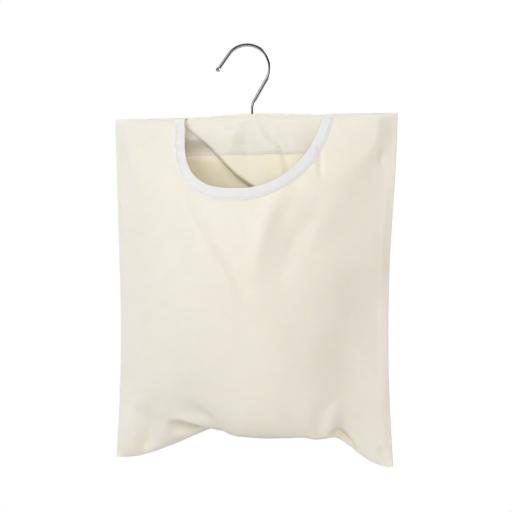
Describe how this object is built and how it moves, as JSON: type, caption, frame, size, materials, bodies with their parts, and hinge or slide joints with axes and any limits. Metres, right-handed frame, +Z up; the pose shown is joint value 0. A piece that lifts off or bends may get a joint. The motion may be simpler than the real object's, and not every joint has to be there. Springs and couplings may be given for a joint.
{
  "type": "peg bag",
  "caption": "Hanging canvas peg bag with a bound half-round mouth, a wooden bar sewn into its top and a swivelling wire hook.",
  "frame": {"origin": "the inside of the hook's bend, straight above the shank, where the line or rail lies", "axes": "+Z up along the shank, -Y out of the front of the bag where the mouth is, +X to the right as seen from the front"},
  "size_m": [0.3004, 0.0937, 0.4186],
  "materials": {
    "hook_wire": "bright plated wire",
    "washer_steel": "plain zinc",
    "bar_wood": "bare sanded beech",
    "canvas": "natural cotton canvas, plain weave",
    "binding_tape": "white cotton bias tape",
    "thread": "cotton sewing thread"
  },
  "bodies": {
    "hook": {"hook": "hook_wire"},
    "bag": {"swivel_washer": "washer_steel", "hanger_bar": "bar_wood", "back_panel": "canvas", "hanger_facing": "canvas", "front_panel": "canvas", "mouth_binding": "binding_tape", "top_seam_left": "thread", "top_seam_right": "thread", "side_seam_left": "thread", "side_seam_right": "thread", "bottom_seam": "thread", "facing_seam": "thread", "binding_seam": "thread"}
  },
  "joints": [
    {"name": "hook_swivel", "type": "hinge", "parent": "hook", "child": "bag", "pos_m": [0, 0, -0.08], "axis": [0, 0, 1], "continuous": true}
  ]
}
